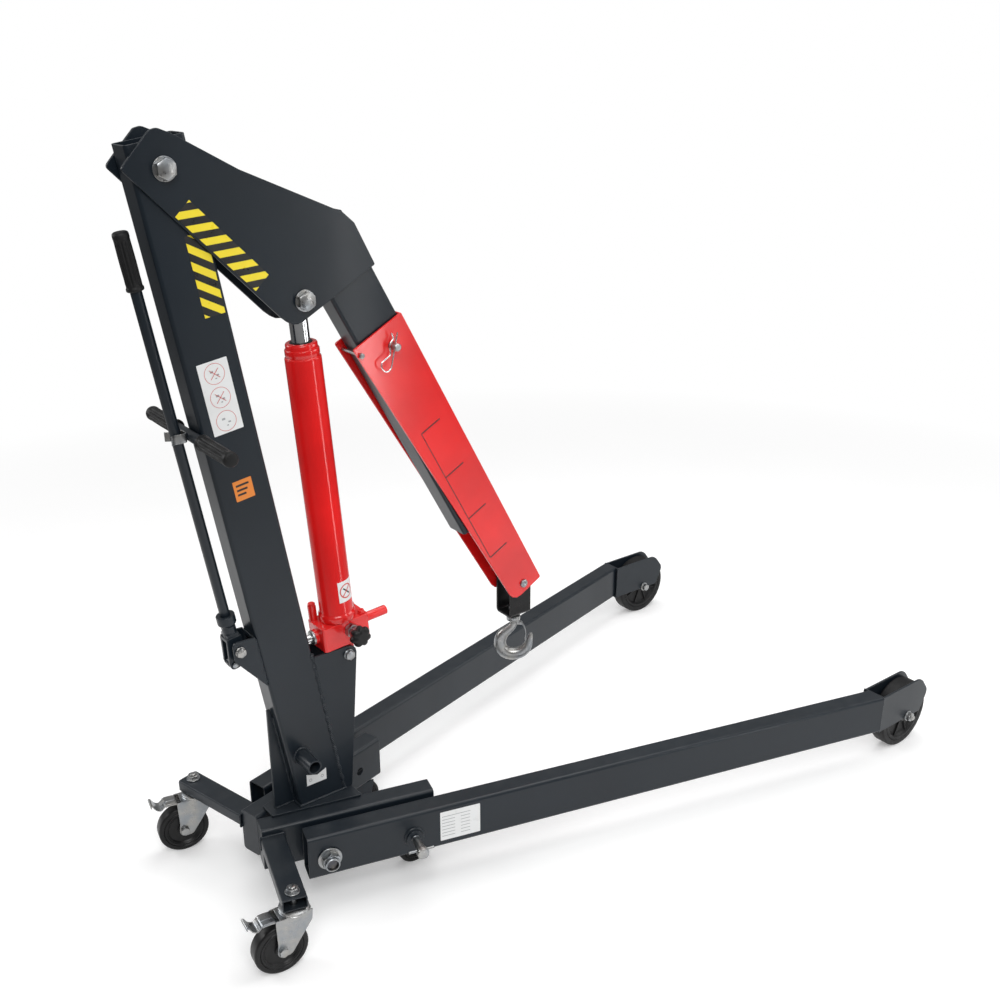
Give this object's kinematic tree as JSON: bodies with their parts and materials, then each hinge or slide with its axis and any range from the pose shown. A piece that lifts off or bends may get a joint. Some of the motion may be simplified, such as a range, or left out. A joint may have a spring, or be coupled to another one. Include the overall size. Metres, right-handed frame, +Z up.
{
  "type": "engine hoist crane",
  "caption": "Folding workshop crane: splayed wheeled legs, leaning column, hand-pumped hydraulic ram lifting a telescopic boom with a swivel hook.",
  "frame": {"origin": "on the floor, on the centre plane, below the middle of the crane's overall length", "axes": "+X forward to the leg tips, +Y to the crane's left, +Z up"},
  "size_m": [1.6375, 0.956, 1.41],
  "materials": {
    "anthracite_paint": "satin",
    "red_paint": "gloss",
    "zinc_plate": "zinc plated",
    "polished_chrome": "polished",
    "black_rubber": "matt",
    "black_plastic": "satin"
  },
  "bodies": {
    "base": {"base_rail_left": "anthracite_paint", "base_rail_right": "anthracite_paint", "base_plate": "anthracite_paint", "caster_arm_left": "anthracite_paint", "caster_arm_right": "anthracite_paint", "column": "anthracite_paint", "column_gusset": "anthracite_paint", "ram_bracket": "anthracite_paint", "stow_tube": "anthracite_paint", "lever_bracket": "anthracite_paint", "push_bar": "anthracite_paint", "push_grip_left": "black_rubber", "push_grip_right": "black_rubber", "leg_hinge_bolt_left": "zinc_plate", "leg_hinge_bolt_right": "zinc_plate", "boom_pivot_bolt": "zinc_plate", "ram_base_bolt": "zinc_plate", "lever_pivot_bolt": "zinc_plate", "mid_wheel_fork_left": "anthracite_paint", "mid_wheel_fork_right": "anthracite_paint"},
    "leg_left": {"leg_left": "anthracite_paint", "leg_wheel_fork_left": "anthracite_paint", "leg_wheel_axle_left": "zinc_plate"},
    "leg_wheel_left": {"leg_wheel_left": "black_rubber"},
    "lock_pin_left": {"lock_pin_left": "zinc_plate"},
    "mid_wheel_left": {"mid_wheel_left": "black_rubber"},
    "caster_left": {"caster_fork_left": "zinc_plate"},
    "caster_wheel_left": {"caster_wheel_left": "black_rubber"},
    "caster_brake_left": {"caster_brake_left": "zinc_plate"},
    "leg_right": {"leg_right": "anthracite_paint", "leg_wheel_fork_right": "anthracite_paint", "leg_wheel_axle_right": "zinc_plate"},
    "leg_wheel_right": {"leg_wheel_right": "black_rubber"},
    "lock_pin_right": {"lock_pin_right": "zinc_plate"},
    "mid_wheel_right": {"mid_wheel_right": "black_rubber"},
    "caster_right": {"caster_fork_right": "zinc_plate"},
    "caster_wheel_right": {"caster_wheel_right": "black_rubber"},
    "caster_brake_right": {"caster_brake_right": "zinc_plate"},
    "boom": {"boom_plate_left": "anthracite_paint", "boom_plate_right": "anthracite_paint", "boom_tube": "anthracite_paint", "ram_pivot_stub_left": "zinc_plate", "ram_pivot_stub_right": "zinc_plate"},
    "extension": {"boom_extension": "red_paint", "extension_pin": "zinc_plate", "retaining_clip": "polished_chrome", "extension_bolt": "zinc_plate", "hook_pin": "zinc_plate"},
    "hook_block": {"hook_block": "black_plastic"},
    "hook": {"hook": "zinc_plate"},
    "hook_latch": {"hook_latch": "zinc_plate"},
    "ram": {"ram_base": "red_paint", "ram_cylinder": "red_paint"},
    "ram_rod": {"ram_rod": "polished_chrome"},
    "release_knob": {"release_knob": "black_plastic"},
    "pump_plunger": {"pump_plunger": "polished_chrome"},
    "lever": {"lever_socket": "anthracite_paint", "lever_tube": "anthracite_paint", "lever_grip": "black_rubber"},
    "pump_link": {"pump_link": "anthracite_paint"}
  },
  "joints": [
    {"name": "leg_fold_left", "type": "hinge", "parent": "base", "child": "leg_left", "pos_m": [-0.59181, 0.10813, 0.116], "axis": [0.2619, -0.9651, 0], "range_deg": [0, 90]},
    {"name": "leg_wheel_spin_left", "type": "hinge", "parent": "leg_left", "child": "leg_wheel_left", "pos_m": [0.7383, 0.436, 0.08], "axis": [0, 1, 0], "continuous": true},
    {"name": "lock_pin_slide_left", "type": "slide", "parent": "leg_left", "child": "lock_pin_left", "axis": [-0.2619, 0.9651, 0], "range_m": [-0.032, 0.04]},
    {"name": "mid_wheel_spin_left", "type": "hinge", "parent": "base", "child": "mid_wheel_left", "pos_m": [-0.39588, 0.10016, 0.0375], "axis": [0, 1, 0], "continuous": true},
    {"name": "caster_swivel_left", "type": "hinge", "parent": "base", "child": "caster_left", "pos_m": [-0.71525, 0.20986, 0.1225], "axis": [0, 0, 1], "continuous": true},
    {"name": "caster_wheel_spin_left", "type": "hinge", "parent": "caster_left", "child": "caster_wheel_left", "pos_m": [-0.74578, 0.21524, 0.05], "axis": [0.1736, 0.9848, 0], "continuous": true},
    {"name": "caster_brake_press_left", "type": "hinge", "parent": "caster_left", "child": "caster_brake_left", "pos_m": [-0.73534, 0.2134, 0.1109], "axis": [-0.1736, -0.9848, 0], "range_deg": [0, 8]},
    {"name": "leg_fold_right", "type": "hinge", "parent": "base", "child": "leg_right", "pos_m": [-0.59181, -0.10813, 0.116], "axis": [-0.2619, -0.9651, 0], "range_deg": [0, 90]},
    {"name": "leg_wheel_spin_right", "type": "hinge", "parent": "leg_right", "child": "leg_wheel_right", "pos_m": [0.7383, -0.436, 0.08], "axis": [0, 1, 0], "continuous": true},
    {"name": "lock_pin_slide_right", "type": "slide", "parent": "leg_right", "child": "lock_pin_right", "axis": [-0.2619, -0.9651, 0], "range_m": [-0.032, 0.04]},
    {"name": "mid_wheel_spin_right", "type": "hinge", "parent": "base", "child": "mid_wheel_right", "pos_m": [-0.39588, -0.10016, 0.0375], "axis": [0, 1, 0], "continuous": true},
    {"name": "caster_swivel_right", "type": "hinge", "parent": "base", "child": "caster_right", "pos_m": [-0.71525, -0.20986, 0.1225], "axis": [0, 0, 1], "continuous": true},
    {"name": "caster_wheel_spin_right", "type": "hinge", "parent": "caster_right", "child": "caster_wheel_right", "pos_m": [-0.74608, -0.20662, 0.05], "axis": [0.1045, 0.9945, 0], "continuous": true},
    {"name": "caster_brake_press_right", "type": "hinge", "parent": "caster_right", "child": "caster_brake_right", "pos_m": [-0.73554, -0.20773, 0.1109], "axis": [-0.1045, -0.9945, 0], "range_deg": [0, 8]},
    {"name": "boom_lift", "type": "hinge", "parent": "base", "child": "boom", "pos_m": [-0.74176, 0, 1.3529], "axis": [0, -1, 0], "range_deg": [0, 57.86]},
    {"name": "boom_extend", "type": "slide", "parent": "boom", "child": "extension", "axis": [0.4756, 0, -0.8796], "range_m": [0, 0.33]},
    {"name": "hook_swing", "type": "hinge", "parent": "extension", "child": "hook_block", "pos_m": [-0.06352, 0, 0.48959], "axis": [0, -1, 0], "range_deg": [-57.87, 0]},
    {"name": "hook_swivel", "type": "hinge", "parent": "hook_block", "child": "hook", "pos_m": [-0.06352, 0, 0.398], "axis": [0, 0, 1], "continuous": true},
    {"name": "hook_latch_open", "type": "hinge", "parent": "hook", "child": "hook_latch", "pos_m": [-0.05305, -0.00804, 0.3855], "axis": [0.6088, 0.7934, 0], "range_deg": [0, 30]},
    {"name": "ram_tilt", "type": "hinge", "parent": "base", "child": "ram", "pos_m": [-0.4777, 0, 0.46], "axis": [0, 1, 0], "range_deg": [0, 6.33]},
    {"name": "ram_stroke", "type": "slide", "parent": "ram", "child": "ram_rod", "axis": [-0.073, 0, 0.9973], "range_m": [0, 0.284]},
    {"name": "release_knob_turn", "type": "hinge", "parent": "ram", "child": "release_knob", "pos_m": [-0.47356, 0, 0.51304], "axis": [0, 1, 0], "range_deg": [0, 360]},
    {"name": "pump_lever", "type": "hinge", "parent": "base", "child": "lever", "pos_m": [-0.6917, 0, 0.536], "axis": [0, -1, 0], "range_deg": [0, 43]},
    {"name": "pump_link_level", "type": "hinge", "parent": "lever", "child": "pump_link", "pos_m": [-0.6977, 0, 0.507], "axis": [0, -1, 0], "range_deg": [-43.01, 0]},
    {"name": "pump_plunger_stroke", "type": "slide", "parent": "ram", "child": "pump_plunger", "axis": [0.9973, 0, 0.073], "range_m": [0, 0.021]}
  ],
  "couplings": [
    {"joint": "hook_swing", "follows": "boom_lift", "ratio": -1},
    {"joint": "ram_tilt", "follows": "boom_lift", "ratio": 0.10923},
    {"joint": "ram_stroke", "follows": "boom_lift", "m_per_rad": 0.28051},
    {"joint": "pump_link_level", "follows": "pump_lever", "ratio": -1},
    {"joint": "pump_plunger_stroke", "follows": "pump_lever", "m_per_rad": 0.0279}
  ]
}
